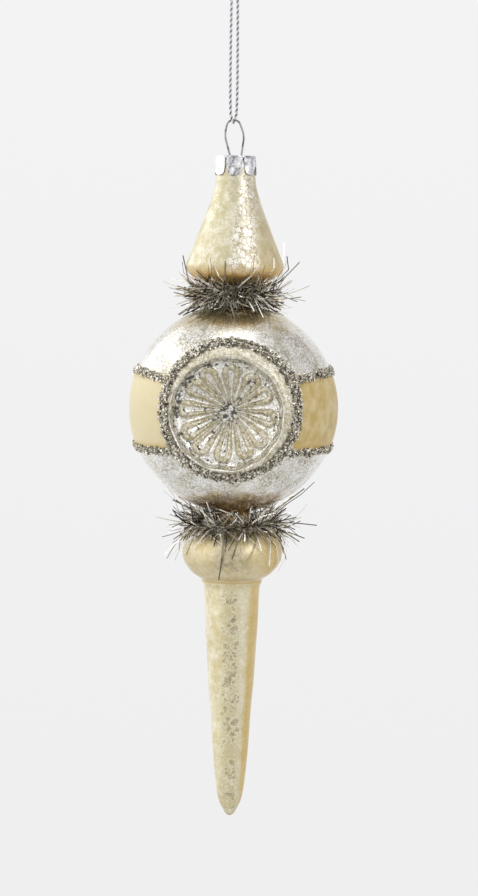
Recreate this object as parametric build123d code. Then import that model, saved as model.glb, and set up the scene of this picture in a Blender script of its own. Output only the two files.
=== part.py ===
"""Hanging icicle ornament of blown glass.

A cone finial, a reflector ball and an icicle drop, blown as three sections of one tube and fused at two
narrow necks. A tinsel garland is wound round each neck. The ball has a pressed reflector at the front and
at the back, each inside a ring of glitter, and a gold band between two lines of glitter on either side.
A seven-tab metal cap and a sprung hanger wire close the top, and a knotted metallic cord carries it.

Everything is modelled round the glass's own axis, with heights above the ball's centre, and is moved into
the row frame when it is written. There the origin is where the loop of cord hangs, just under its knot,
+Z is up and the front reflector faces -Y.
"""
from build123d import *
import math
import os

# Driving dimensions, in millimetres. A name that ends in _Z is a height above the ball's centre.
BALL_R = 35.0
GLASS_WALL = 0.8
NECK_R = 6.0
SEAM_Z = 38.0  # the fused seam above the ball; the lower one is as far below it

MOUTH_R = 6.35  # the finial's plain neck, inside the cap
MOUTH_Z = 84.0
SHOULDER_Z = 78.1  # where the finial starts to widen under the cap
# outlines as (radius, height), from the top down; a smooth curve runs through the points
FINIAL_CURVE = [(6.6, 76.9), (7.05, 73.6), (8.6, 68.4), (10.85, 62.4), (13.2, 56.4), (15.5, 50.6)]
FINIAL_CURVE += [(16.4, 47.4), (15.0, 44.7), (11.2, 42.7), (8.0, 41.7), (6.5, 41.0), (NECK_R, 40.2)]
DROP_CURVE = [(NECK_R, -38.4), (8.6, -39.9), (12.8, -41.5), (15.7, -44.5), (16.75, -48.0), (16.2, -51.8)]
DROP_CURVE += [(13.6, -55.4), (10.7, -57.6), (9.6, -60.0), (9.3, -63.5), (9.0, -72.0), (8.35, -82.0)]
DROP_CURVE += [(7.7, -92.5), (6.8, -103.0), (6.1, -115.0), (5.4, -123.5), (4.7, -129.7)]
DROP_POINT = [(3.8, -133.7), (2.85, -135.9), (1.36, -138.4)]
DROP_TIP_Z = -139.2
DROP_HOLLOW_Z = -133.4  # the blown hollow ends here, above a solid point

# the reflector's dish as (distance from its axis, distance from the ball's centre)
DISH_FLOOR = (0.0, 20.5)
DISH_MIDDLE = (9.0, 22.3)
DISH_SHOULDER = (17.2, 27.5)
DISH_EDGE = (23.2, 31.5)  # outside the ball, so the dish meets it at a radius of about 19.6

TRIM_WIDTH = 3.0
TRIM_HEIGHT = 1.0
RING_R = 22.1  # the glitter ring's middle, from the reflector's axis
RING_WIDTH = 4.0
BAND_Z = 12.8  # the glitter bands' middles, above and below the ball's centre
PANEL_THICKNESS = 0.2

CAP_R = 6.85
CAP_SHEET = 0.25
CAP_TOP_Z = 84.42
TAB_SIDE_Z = 80.1  # where a tab's rounded end begins
TAB_TIP_Z = 77.86
TAB_CORNER = (1.25, 78.6)  # a point on the tab's rounded corner, from the middle of the slot
TAB_COUNT = 7
TAB_SLOT = 0.5
TAB_TURN = -1.0  # degrees that the front tab is turned from the front

WIRE_R = 0.33
WIRE_HOLE_R = 0.55
EYE_OFFSET = 1.0  # the eye leans this far to the left of the glass's axis
EYE_APEX_Z = 96.3
EYE_TOP_HALF = 1.78  # half the flat run that the top's two bends round off
EYE_SIDE = (3.28, 91.2)
WIRE_WAIST = (1.62, 83.2)
WIRE_FOOT = (4.6, 64.5)
WIRE_BENDS = [1.2, 8.0, 2.3]  # radii at the waist, the side and the top

HANG_Z = 138.5
CORD_R = 0.45
RADIUS_SHARE = 0.45  # how much of the shorter run each bend of a tube takes up
# the cord's route in the row frame: down the front strand, under the wire's top, up the back strand
CORD_ROUTE = [
    (-0.95, -0.3, 0.0),
    (-1.25, -0.75, -37.7),
    (-0.35, -1.05, -43.1),
    (0.35, 1.05, -43.1),
    (1.45, 0.75, -37.7),
    (1.05, 0.3, 0.0),
]
KNOT_R = 1.95
KNOT_HEIGHT = 3.8
KNOT_TOP_ROUND = 1.8
KNOT_UNDER_CHAMFER = 0.3
TAIL_LENGTH = 7.0
TAIL_LEAN = 14.0  # degrees

TINSEL_WIRE_R = 0.45
COIL_POINTS_PER_TURN = 12
# each garland's coil as (radius, height) at its lower and upper ends, with its number of turns
UPPER_COIL = {"low": (10.8, 36.5), "high": (9.0, 40.0), "turns": 1.9}
LOWER_COIL = {"low": (15.0, -40.9), "high": (10.2, -36.9), "turns": 1.6}
# the outer shape of each garland's strands as (radius, height), clear of the glass on both sides
UPPER_FRINGE = [(6.9, 39.2), (11.2, 41.0), (14.6, 42.7), (16.9, 45.0), (17.6, 47.2), (20.4, 46.6)]
UPPER_FRINGE += [(21.8, 41.0), (21.8, 35.0), (20.0, 29.9), (12.0, 33.8), (6.9, 35.6)]
LOWER_FRINGE = [(6.9, -35.6), (12.0, -33.8), (19.0, -30.4), (22.0, -34.5), (22.4, -42.0), (20.0, -47.0)]
LOWER_FRINGE += [(17.6, -46.6), (15.8, -43.0), (12.8, -40.8), (9.0, -39.2), (6.9, -38.2)]

INTO_ROW_FRAME = Pos(EYE_OFFSET, 0, -HANG_Z)
STANDING = (Align.CENTER, Align.CENTER, Align.MIN)


def turned(edges):
    """The solid that a closed outline of (radius, height) edges makes round the glass's axis."""
    return revolve(Plane.XZ * make_face(edges), Axis.Z)


def inset(points, wall):
    """An outline's inner points, moved in by the wall at right angles to its run."""
    moved = []
    for before, here, after in zip(points, points[1:], points[2:]):
        run = Vector(*after) - Vector(*before)
        inward = Vector(run.Y, -run.X).normalized() * wall
        moved.append((here[0] + inward.X, here[1] + inward.Y))
    return moved


def finial_glass():
    """The cone, open at its plain mouth and at the fused neck."""
    down = (0, -1)
    edges = []
    mouth = (MOUTH_R, SHOULDER_Z)
    outer = [mouth] + FINIAL_CURVE
    hollow = [(MOUTH_R - GLASS_WALL, SHOULDER_Z), *inset(outer, GLASS_WALL)]
    hollow += [(NECK_R - GLASS_WALL, FINIAL_CURVE[-1][1])]
    for curve in (outer, hollow):
        edges.append(Line((curve[0][0], MOUTH_Z), curve[0]))
        edges.append(Spline(*curve, tangents=[down, down]))
        edges.append(Line(curve[-1], (curve[-1][0], SEAM_Z)))
    for z in (MOUTH_Z, SEAM_Z):
        radius = MOUTH_R if z == MOUTH_Z else NECK_R
        edges.append(Line((radius, z), (radius - GLASS_WALL, z)))
    return turned(edges)


def domed_end(start, end_z):
    """A round end from a point on an outline to the axis, as an arc centred on the axis."""
    radius, depth = start[0], start[1] - end_z
    dome_r = (radius**2 + depth**2) / (2 * depth)
    half_angle = math.asin(min(1.0, radius / dome_r)) / 2
    bulge = (dome_r * math.sin(half_angle), end_z + dome_r * (1 - math.cos(half_angle)))
    return ThreePointArc(start, bulge, (0.0, end_z))


def drop_glass():
    """The collar bulb and the icicle, open at the fused neck and closed to a solid tip."""
    outer = DROP_CURVE + DROP_POINT
    hollow = [(NECK_R - GLASS_WALL, DROP_CURVE[0][1]), *inset(DROP_CURVE + DROP_POINT[:1], GLASS_WALL)]
    edges = [Line((NECK_R, -SEAM_Z), (NECK_R - GLASS_WALL, -SEAM_Z))]
    for curve, end_z in ((outer, DROP_TIP_Z), (hollow, DROP_HOLLOW_Z)):
        edges.append(Line((curve[0][0], -SEAM_Z), curve[0]))
        edges.append(Spline(*curve))
        edges.append(domed_end(curve[-1], end_z))
    edges.append(Line((0, DROP_TIP_Z), (0, DROP_HOLLOW_Z)))
    return turned(edges)


def necked_ball(ball_r, neck_r):
    """A solid ball with a straight neck at each pole, out to both seams."""
    pole_z = math.sqrt(ball_r**2 - neck_r**2)
    edges = [
        Line((0, SEAM_Z), (neck_r, SEAM_Z)),
        Line((neck_r, SEAM_Z), (neck_r, pole_z)),
        ThreePointArc((neck_r, pole_z), (ball_r, 0), (neck_r, -pole_z)),
        Line((neck_r, -pole_z), (neck_r, -SEAM_Z)),
        Line((neck_r, -SEAM_Z), (0, -SEAM_Z)),
        Line((0, -SEAM_Z), (0, SEAM_Z)),
    ]
    return turned(edges)


def facing(shape):
    """A shape made round +Z, turned to face the front and, as a second one, the back."""
    return [Rot(X=90) * shape, Rot(X=-90) * shape]


def dishes(wall):
    """What the two reflectors take out of the ball, each made larger by the wall."""
    mirrored_middle = (-DISH_MIDDLE[0], DISH_MIDDLE[1])
    past_edge = tuple(2 * Vector(*DISH_EDGE) - Vector(*DISH_SHOULDER))[:2]
    outline = [mirrored_middle, DISH_FLOOR, DISH_MIDDLE, DISH_SHOULDER, DISH_EDGE, past_edge]
    floor, middle, shoulder, edge = inset(outline, wall)
    top = 2 * BALL_R
    edges = [
        ThreePointArc(floor, middle, shoulder),
        Line(shoulder, edge),
        Line(edge, (edge[0], top)),
        Line((edge[0], top), (0, top)),
        Line((0, top), floor),
    ]
    return facing(turned(edges))


def ball_glass():
    """The ball's shell with a dished reflector at the front and at the back."""
    outside = necked_ball(BALL_R, NECK_R) - dishes(0.0)
    hollow = necked_ball(BALL_R - GLASS_WALL, NECK_R - GLASS_WALL) - dishes(GLASS_WALL)
    return outside - hollow


def on_ball(low_z, high_z, height):
    """A strip lying on the ball round +Z, between two heights."""
    inner, outer = BALL_R, BALL_R + height

    def at(radius, z):
        return (math.sqrt(radius**2 - z**2), z)

    middle = (low_z + high_z) / 2
    edges = [
        ThreePointArc(at(inner, low_z), at(inner, middle), at(inner, high_z)),
        Line(at(inner, high_z), at(outer, high_z)),
        ThreePointArc(at(outer, high_z), at(outer, middle), at(outer, low_z)),
        Line(at(outer, low_z), at(inner, low_z)),
    ]
    return turned(edges)


def ring_on_ball():
    """One glitter ring round +Z, between its two edges' distances from the reflector's axis."""
    inner_edge, outer_edge = RING_R - RING_WIDTH / 2, RING_R + RING_WIDTH / 2
    inner, outer = BALL_R, BALL_R + TRIM_HEIGHT

    def at(radius, distance):
        return (distance, math.sqrt(radius**2 - distance**2))

    edges = [
        ThreePointArc(at(inner, inner_edge), at(inner, RING_R), at(inner, outer_edge)),
        Line(at(inner, outer_edge), at(outer, outer_edge)),
        ThreePointArc(at(outer, outer_edge), at(outer, RING_R), at(outer, inner_edge)),
        Line(at(outer, inner_edge), at(inner, inner_edge)),
    ]
    return turned(edges)


def split_by_side(strip, name):
    """A strip round the ball, parted by the two glitter rings into its left and right lengths."""
    within_rings = Rot(X=90) * Cylinder(RING_R + RING_WIDTH / 2, 4 * BALL_R)
    left, right = (strip - within_rings).solids().sort_by(Axis.X)
    return {f"{name}_left": left, f"{name}_right": right}


def trims():
    """The glitter rings, the glitter bands and the gold panels between them."""
    front, back = facing(ring_on_ball())
    nodes = {"glitter_ring_front": front, "glitter_ring_back": back}
    half = TRIM_WIDTH / 2
    for name, middle in (("upper", BAND_Z), ("lower", -BAND_Z)):
        nodes |= split_by_side(on_ball(middle - half, middle + half, TRIM_HEIGHT), f"glitter_band_{name}")
    edge = BAND_Z - half
    return nodes | split_by_side(on_ball(-edge, edge, PANEL_THICKNESS), "band_panel")


def cap():
    """A drawn metal cap with seven rounded tabs and two holes for the wire."""
    height = CAP_TOP_Z - TAB_TIP_Z
    blank = Pos(Z=TAB_TIP_Z) * Cylinder(CAP_R, height, align=STANDING)
    blank -= Pos(Z=TAB_TIP_Z) * Cylinder(CAP_R - CAP_SHEET, height - CAP_SHEET, align=STANDING)
    tab_half = CAP_R * math.sin(math.pi / TAB_COUNT)
    slot_top = CAP_TOP_Z - 2 * CAP_SHEET
    below = TAB_TIP_Z - 1
    edges = [Line((-TAB_SLOT / 2, slot_top), (TAB_SLOT / 2, slot_top))]
    edges.append(Line((-tab_half, below), (tab_half, below)))
    for side in (-1, 1):
        slot = (side * TAB_SLOT / 2, TAB_SIDE_Z)
        bulge = (side * TAB_CORNER[0], TAB_CORNER[1])
        tip = (side * tab_half, TAB_TIP_Z)
        edges.append(Line((slot[0], slot_top), slot))
        edges.append(ThreePointArc(slot, bulge, tip))
        edges.append(Line(tip, (tip[0], below)))
    gap = extrude(Plane.XZ * make_face(edges), 2 * CAP_R)
    for tab in range(TAB_COUNT):
        blank -= Rot(Z=TAB_TURN + (tab + 0.5) * 360 / TAB_COUNT) * gap
    for side in (-1, 1):
        blank -= Pos(side * wire_x_at(CAP_TOP_Z), 0, CAP_TOP_Z) * Cylinder(WIRE_HOLE_R, 2)
    return blank


def wire_x_at(z):
    """How far each leg of the wire is from the axis at a height between its waist and its side."""
    (x0, z0), (x1, z1) = WIRE_WAIST, EYE_SIDE
    return x0 + (x1 - x0) * (z - z0) / (z1 - z0)


def hanger_wire():
    """The eye and its two sprung legs, bent from one length of wire. The eye leans to the left."""
    half = [WIRE_FOOT, WIRE_WAIST, EYE_SIDE, (EYE_TOP_HALF, EYE_APEX_Z)]
    lean = EYE_OFFSET / (EYE_APEX_Z - CAP_TOP_Z)
    points = [(-x, z) for x, z in half] + [(x, z) for x, z in reversed(half)]
    points = [(x - lean * max(0.0, z - CAP_TOP_Z), 0, z) for x, z in points]
    path = FilletPolyline(*points, radius=WIRE_BENDS + WIRE_BENDS[::-1])
    return sweep((path ^ 0) * Circle(WIRE_R), path)


def tube(points, radius, name):
    """A round tube on straight runs joined by tangent arcs, each as large as its two runs allow."""
    runs = [Vector(*b) - Vector(*a) for a, b in zip(points, points[1:])]
    radii = []
    for before, after in zip(runs, runs[1:]):
        half_turn = math.radians(before.get_angle(after)) / 2
        radii.append(RADIUS_SHARE * min(before.length, after.length) / math.tan(half_turn))
    path = FilletPolyline(*points, radius=radii)
    solid = sweep((path ^ 0) * Circle(radius), path)
    expected = math.pi * radius**2 * path.length
    print(f"{name}: {path.length:.2f} mm long, {solid.volume:.2f} mm3, and {expected:.2f} mm3 expected")
    print(f"{name}: bend radii {[round(r, 2) for r in radii]}")
    return solid


def coil(low, high, turns):
    """The points of a tinsel wire wound round a neck, from its lower end up."""
    steps = round(turns * COIL_POINTS_PER_TURN)
    points = []
    for step in range(steps + 1):
        share = step / steps
        radius = low[0] + share * (high[0] - low[0])
        height = low[1] + share * (high[1] - low[1])
        angle = math.tau * turns * share
        points.append((radius * math.cos(angle), radius * math.sin(angle), height))
    return points


def garlands():
    """Each garland's twisted core wire, and one plain solid for its strands."""
    nodes = {}
    both = (("upper", UPPER_COIL, UPPER_FRINGE), ("lower", LOWER_COIL, LOWER_FRINGE))
    for place, winding, fringe in both:
        core = f"tinsel_{place}_core"
        nodes[core] = tube(coil(**winding), TINSEL_WIRE_R, core)
        nodes[f"tinsel_{place}_fringe"] = turned(Polyline(*fringe, close=True).edges())
    return nodes


def cord_knot():
    """The overhand knot that closes the loop, with its two tails. Its flat underside is the origin."""
    barrel = Cylinder(KNOT_R, KNOT_HEIGHT, align=STANDING)
    barrel = fillet(barrel.edges().filter_by(GeomType.CIRCLE).sort_by(Axis.Z)[-1], KNOT_TOP_ROUND)
    barrel = chamfer(barrel.edges().filter_by(GeomType.CIRCLE).sort_by(Axis.Z)[0], KNOT_UNDER_CHAMFER)
    tail = Cylinder(CORD_R, TAIL_LENGTH, align=STANDING)
    for side in (-1, 1):
        barrel += Pos(side * KNOT_R / 3, 0, KNOT_HEIGHT / 2) * Rot(Y=side * TAIL_LEAN) * tail
    return barrel


def write(nodes):
    os.makedirs("parts", exist_ok=True)
    for name, shape in nodes.items():
        export_step(shape, f"parts/{name}.step")


glass_nodes = {"finial_glass": finial_glass(), "ball_glass": ball_glass(), "drop_glass": drop_glass()}
glass_nodes |= {"cap": cap(), "hanger_wire": hanger_wire()} | trims() | garlands()
write({name: INTO_ROW_FRAME * shape for name, shape in glass_nodes.items()})
write({"hanging_cord": tube(CORD_ROUTE, CORD_R, "hanging_cord"), "cord_knot": cord_knot()})
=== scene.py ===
"""Looks for the hanging icicle ornament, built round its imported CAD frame.

Lengths are in millimetres round the glass's own axis, with heights above the ball's centre, until placed()
turns them into metres in the row frame. The front reflector faces -Y.
"""

import math

import bpy
import numpy as np
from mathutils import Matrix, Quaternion, Vector


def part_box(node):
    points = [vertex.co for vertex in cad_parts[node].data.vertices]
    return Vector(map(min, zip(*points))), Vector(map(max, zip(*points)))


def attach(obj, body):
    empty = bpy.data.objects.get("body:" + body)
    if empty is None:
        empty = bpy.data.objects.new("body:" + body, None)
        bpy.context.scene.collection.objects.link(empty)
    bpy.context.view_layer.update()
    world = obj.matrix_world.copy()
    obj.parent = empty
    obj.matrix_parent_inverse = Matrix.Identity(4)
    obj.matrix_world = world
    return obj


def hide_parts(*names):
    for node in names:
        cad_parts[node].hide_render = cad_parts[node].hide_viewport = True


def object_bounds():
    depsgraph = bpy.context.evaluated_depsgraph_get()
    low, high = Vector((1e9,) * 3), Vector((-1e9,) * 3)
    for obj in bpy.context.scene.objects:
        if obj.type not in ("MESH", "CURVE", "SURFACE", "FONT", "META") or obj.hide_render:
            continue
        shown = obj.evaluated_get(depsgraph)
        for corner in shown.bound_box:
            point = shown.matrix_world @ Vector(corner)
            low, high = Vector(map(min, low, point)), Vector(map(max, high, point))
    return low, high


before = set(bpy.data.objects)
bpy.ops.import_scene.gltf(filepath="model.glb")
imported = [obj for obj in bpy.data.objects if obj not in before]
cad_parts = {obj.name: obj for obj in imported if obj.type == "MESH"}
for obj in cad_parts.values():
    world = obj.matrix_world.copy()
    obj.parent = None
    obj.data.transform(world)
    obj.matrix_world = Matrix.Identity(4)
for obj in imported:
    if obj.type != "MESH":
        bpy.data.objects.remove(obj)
cad_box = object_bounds()

MM = 0.001
ball_low, ball_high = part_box("ball_glass")
BALL_CENTRE = (ball_low + ball_high) / 2
BALL_R = (ball_high.x - ball_low.x) / 2 / MM
SEAM_Z = (ball_high.z - ball_low.z) / 2 / MM
NECK_R = 6.0
GLASS_WALL = 0.8

# outlines as (radius, height) from the top down, the same as the CAD's
FINIAL_MOUTH = [(6.35, 84.0), (6.35, 81.0), (6.35, 78.1)]
FINIAL_CURVE = [(6.6, 76.9), (7.05, 73.6), (8.6, 68.4), (10.85, 62.4), (13.2, 56.4), (15.5, 50.6)]
FINIAL_CURVE += [(16.4, 47.4), (15.0, 44.7), (11.2, 42.7), (8.0, 41.7), (6.5, 41.0)]
FINIAL_CURVE += [(NECK_R, 40.2), (NECK_R, SEAM_Z)]
DROP_CURVE = [(NECK_R, -SEAM_Z), (NECK_R, -38.4), (8.6, -39.9), (12.8, -41.5), (15.7, -44.5)]
DROP_CURVE += [(16.75, -48.0), (16.2, -51.8), (13.6, -55.4), (10.7, -57.6), (9.6, -60.0), (9.3, -63.5)]
DROP_CURVE += [(9.0, -72.0), (8.35, -82.0), (7.7, -92.5), (6.8, -103.0), (6.1, -115.0), (5.4, -123.5)]
DROP_CURVE += [(4.7, -129.7), (3.8, -133.7), (2.85, -135.9), (1.36, -138.4), (0.0, -139.2)]

# reflector, measured from its own axis, which is a little off the ball's
DISH_SHIFT = (-0.8, -0.1)
LIP_SHIFT = (-0.55, 0.0)
DISH_FLOOR = 20.5  # from the ball's centre
DISH_CURVE = 0.0235
DISH_LIP_R = 19.6
WALL_FOOT_R, WALL_TOP_R = 17.0, 18.7
PETAL_COUNT = 12
PETAL_TURN = -5.5  # degrees
PETAL_TIP_R = 3.3
PETAL_REACH = 13.5
PETAL_ROOT = (1.2, 0.9)

RING_R = 22.1
RING_WIDTH = 4.0
RING_SHIFT = (0.4, 1.2)
TRIM_WIDTH = 3.0
BAND_Z = 12.8
RING_GRAINS = (RING_WIDTH - 0.5, 4800)  # how wide they lie, and how many
BAND_GRAINS = (TRIM_WIDTH - 0.3, 1700)
FLAKE_THICK, FLAKE_CORNERS = 0.07, 5
FRONT, BACK = -1, 1

CAP_R, CAP_TOP_Z, CAP_SLOT_Z, TAB_TIP_Z = 6.85, 84.42, 83.9, 77.86
TAB_COUNT, TAB_TURN, SHEET = 7, -1.0, 0.25
WIRE_HOLE_X = 1.85

UPPER_COIL = {"low": (10.8, 36.5), "high": (9.0, 40.0), "turns": 1.9}
LOWER_COIL = {"low": (15.0, -40.9), "high": (10.2, -36.9), "turns": 1.6}

# the cord's route from part.py, in metres
CORD_ROUTE = [
    (-0.00095, -0.0003, 0.0),
    (-0.00125, -0.00075, -0.0377),
    (-0.00035, -0.00105, -0.0431),
    (0.00035, 0.00105, -0.0431),
    (0.00145, 0.00075, -0.0377),
    (0.00105, 0.0003, 0.0),
]
CORD_LENGTH = 0.08774
CORD_DIAMETER = 0.0009
PLY_R, PLY_OFFSET, PLY_PITCH = 0.22, 0.235, 1.8


# ---------------------------------------------------------------- camera, studio and floor


def look(location, forward, roll=0.0):
    """A camera's or lamp's placing: where it is, and the turn that points its -Z along forward."""
    return location, forward.to_track_quat("-Z", "Y") @ Quaternion((0, 0, 1), roll)


def put_in_scene(name, data, place):
    made = bpy.data.objects.new(name, data)
    made.rotation_mode = "QUATERNION"
    made.location, made.rotation_quaternion = place
    bpy.context.collection.objects.link(made)
    return made


def direction(azimuth, elevation):
    """The unit vector towards an azimuth from the front, positive to the right, and an elevation."""
    a, e = math.radians(azimuth), math.radians(elevation)
    return Vector((math.sin(a) * math.cos(e), -math.cos(a) * math.cos(e), math.sin(e)))


def make_camera():
    """Slightly above the ball and to its right, aimed a little below and right of it, and tilted."""
    lens, distance, rise = 107.7, 0.9, 0.0628
    azimuth, aim_right, pitch, tilt = 3.0, 0.126, -4.845, 0.57
    data = bpy.data.cameras.new("camera")
    data.lens = lens
    location = BALL_CENTRE + direction(azimuth, 0) * distance + Vector((0, 0, rise))
    forward = -direction(azimuth - aim_right, -pitch)
    place = look(location, forward, math.radians(tilt))
    bpy.context.scene.camera = put_in_scene("camera", data, place)


def softbox(name, azimuth, elevation, distance, size, radiance):
    """A rectangular lamp aimed at the ball, as bright as its radiance says."""
    data = bpy.data.lights.new(name, "AREA")
    data.shape = "RECTANGLE"
    data.size, data.size_y = size
    data.energy = radiance * math.pi * size[0] * size[1]
    towards = direction(azimuth, elevation)
    put_in_scene(name, data, look(BALL_CENTRE + towards * distance, -towards))


# ---------------------------------------------------------------- nodes


def srgb(red, green, blue):
    """A colour as the eye reads it on a screen, 0 to 255, in the linear form that shaders take."""

    def linear(value):
        share = value / 255
        return share / 12.92 if share <= 0.04045 else ((share + 0.055) / 1.055) ** 2.4

    return (linear(red), linear(green), linear(blue), 1.0)


def add(tree, kind, inputs=None, **settings):
    """A new node. Each input takes a plain value or another node's socket."""
    node = tree.nodes.new("ShaderNode" + kind)
    for key, value in settings.items():
        setattr(node, key, value)
    for key, value in (inputs or {}).items():
        if isinstance(value, bpy.types.NodeSocket):
            tree.links.new(value, node.inputs[key])
        else:
            node.inputs[key].default_value = value
    return node


def mix(tree, share, first, second):
    """The first colour where share is nought and the second where it is one."""
    return add(tree, "Mix", {0: share, 6: first, 7: second}, data_type="RGBA").outputs[2]


def ramp(tree, value, low, high, to_low=0.0, to_high=1.0):
    """A smooth step from to_low at low to to_high at high."""
    inputs = {"Value": value, 1: low, 2: high, 3: to_low, 4: to_high}
    return add(tree, "MapRange", inputs, interpolation_type="SMOOTHSTEP").outputs[0]


def maths(tree, operation, first, second=0.0):
    return add(tree, "Math", {0: first, 1: second}, operation=operation).outputs[0]


def times(tree, first, second):
    return maths(tree, "MULTIPLY", first, second)


def noise(tree, coords, size_mm, detail=3.0, roughness=0.5):
    """Cloudy noise with patches of about a size: its value, then its colour."""
    inputs = {"Vector": coords, "Scale": 1 / (size_mm * MM), "Detail": detail, "Roughness": roughness}
    return add(tree, "TexNoise", inputs).outputs


def voronoi(tree, coords, size_mm, feature="F1"):
    inputs = {"Vector": coords, "Scale": 1 / (size_mm * MM)}
    return add(tree, "TexVoronoi", inputs, feature=feature).outputs


def warped(tree, coords, size_mm, amount_mm):
    """Coordinates pushed about by noise, so that patterns lose their regular look."""
    push = noise(tree, coords, size_mm, 2)[1]
    push = add(tree, "VectorMath", {0: push, 1: (0.5, 0.5, 0.5)}, operation="SUBTRACT")
    inputs = {0: push.outputs[0], 1: (amount_mm * MM,) * 3, 2: coords}
    return add(tree, "VectorMath", inputs, operation="MULTIPLY_ADD").outputs[0]


def object_coords(tree):
    return add(tree, "TexCoord").outputs["Object"]


def attribute(tree, name):
    return add(tree, "Attribute", attribute_name=name).outputs["Fac"]


def bump(tree, height, distance_mm, strength=1.0):
    inputs = {"Height": height, "Distance": distance_mm * MM, "Strength": strength}
    return add(tree, "Bump", inputs).outputs[0]


def material(name, shade, **constants):
    """A Principled material. shade(tree) gives the inputs that vary; constants are the even ones."""
    made = bpy.data.materials.new(name)
    made.use_nodes = True
    tree = made.node_tree
    shader = tree.nodes["Principled BSDF"]
    for key, value in constants.items():
        shader.inputs[key.replace("_", " ").title()].default_value = value
    for key, value in shade(tree).items():
        tree.links.new(value, shader.inputs[key])
    return made


def between(tree, value, low, high, soft):
    """One where the value lies between low and high, fading to nought over soft on either side."""
    rise = ramp(tree, value, low - soft, low + soft)
    fall = ramp(tree, value, high - soft, high + soft, 1.0, 0.0)
    return times(tree, rise, fall)


def axes(tree, coords):
    """The coordinates along X, Y and Z, in millimetres from the ball's centre."""
    centre = tuple(BALL_CENTRE)
    moved = add(tree, "VectorMath", {0: coords, 1: centre}, operation="SUBTRACT").outputs[0]
    scaled = add(tree, "VectorMath", {0: moved, 1: (1 / MM,) * 3}, operation="MULTIPLY").outputs[0]
    return add(tree, "SeparateXYZ", {0: scaled}).outputs


def crackle(tree, coords, cell_mm, line):
    """The silvering's cells: a mask of the thin lines between them, and one random tone for each."""
    wander = warped(tree, coords, 2.0 * cell_mm, 1.8 * cell_mm)
    wander = warped(tree, wander, 0.5 * cell_mm, 0.9 * cell_mm)
    edge = voronoi(tree, wander, cell_mm, "DISTANCE_TO_EDGE")[0]
    lines = ramp(tree, edge, 0.0, line, 1.0, 0.0)
    tone = add(tree, "SeparateColor", {0: voronoi(tree, wander, cell_mm)[1]}).outputs[0]
    return lines, tone


def gold_mercury(tree):
    """The cone: satin champagne gold, with a lacy strip of white cells right of its middle that is partly
    the glass's own crackle and partly painted reflection, painted shade deepening the gold towards the
    right, and a gold rim.
    """
    coords = object_coords(tree)
    x, _, z = axes(tree, coords)
    lines, tone = crackle(tree, coords, 1.8, 0.11)
    fine_lines, fine_tone = crackle(tree, coords, 0.75, 0.2)
    mottle = noise(tree, coords, 4.0, 5, 0.6)[0]
    # Partly painted reflection: a strip right of the front's middle, widening downwards, where the
    # crackle's cells are whiter and its lines stronger; the crackle itself is the glass's own.
    reach = add(tree, "MapRange", {"Value": z, 1: 78.0, 2: 46.0, 3: 2.2, 4: 5.4}).outputs[0]
    aside = maths(tree, "ABSOLUTE", maths(tree, "SUBTRACT", x, 3.9))
    ragged = times(tree, noise(tree, coords, 3.0, 3)[0], 4.0)
    beyond = maths(tree, "SUBTRACT", maths(tree, "ADD", aside, ragged), reach)
    lace_and_reflection = ramp(tree, beyond, 0.0, 3.2, 1.0, 0.0)
    colour = mix(tree, ramp(tree, mottle, 0.35, 0.66), srgb(196, 187, 150), srgb(229, 225, 206))
    colour = mix(tree, ramp(tree, fine_tone, 0.6, 0.95, 0.0, 0.35), colour, srgb(198, 184, 134))
    cells = ramp(tree, tone, 0.0, 0.7, 0.35, 1.0)
    white = times(tree, cells, ramp(tree, lace_and_reflection, 0.0, 1.0, 0.04, 0.9))
    colour = mix(tree, white, colour, srgb(253, 251, 244))
    line_mask = times(tree, lines, ramp(tree, lace_and_reflection, 0.0, 1.0, 0.2, 0.9))
    colour = mix(tree, line_mask, colour, srgb(158, 140, 94))
    colour = mix(tree, times(tree, fine_lines, 0.24), colour, srgb(166, 150, 104))
    # Painted shade: the gold deepens towards the cone's right side.
    colour = mix(tree, ramp(tree, x, 5.0, 15.0, 0.0, 0.5), colour, srgb(206, 182, 120))
    low = times(tree, ramp(tree, z, 49.5, 44.0), ramp(tree, mottle, 0.3, 0.6, 0.6, 0.95))
    colour = mix(tree, low, colour, srgb(216, 174, 88))
    rough = ramp(tree, lace_and_reflection, 0.0, 1.0, 0.5, 0.42)
    return {"Base Color": colour, "Roughness": rough, "Normal": bump(tree, lines, 0.03, 0.5)}


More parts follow.
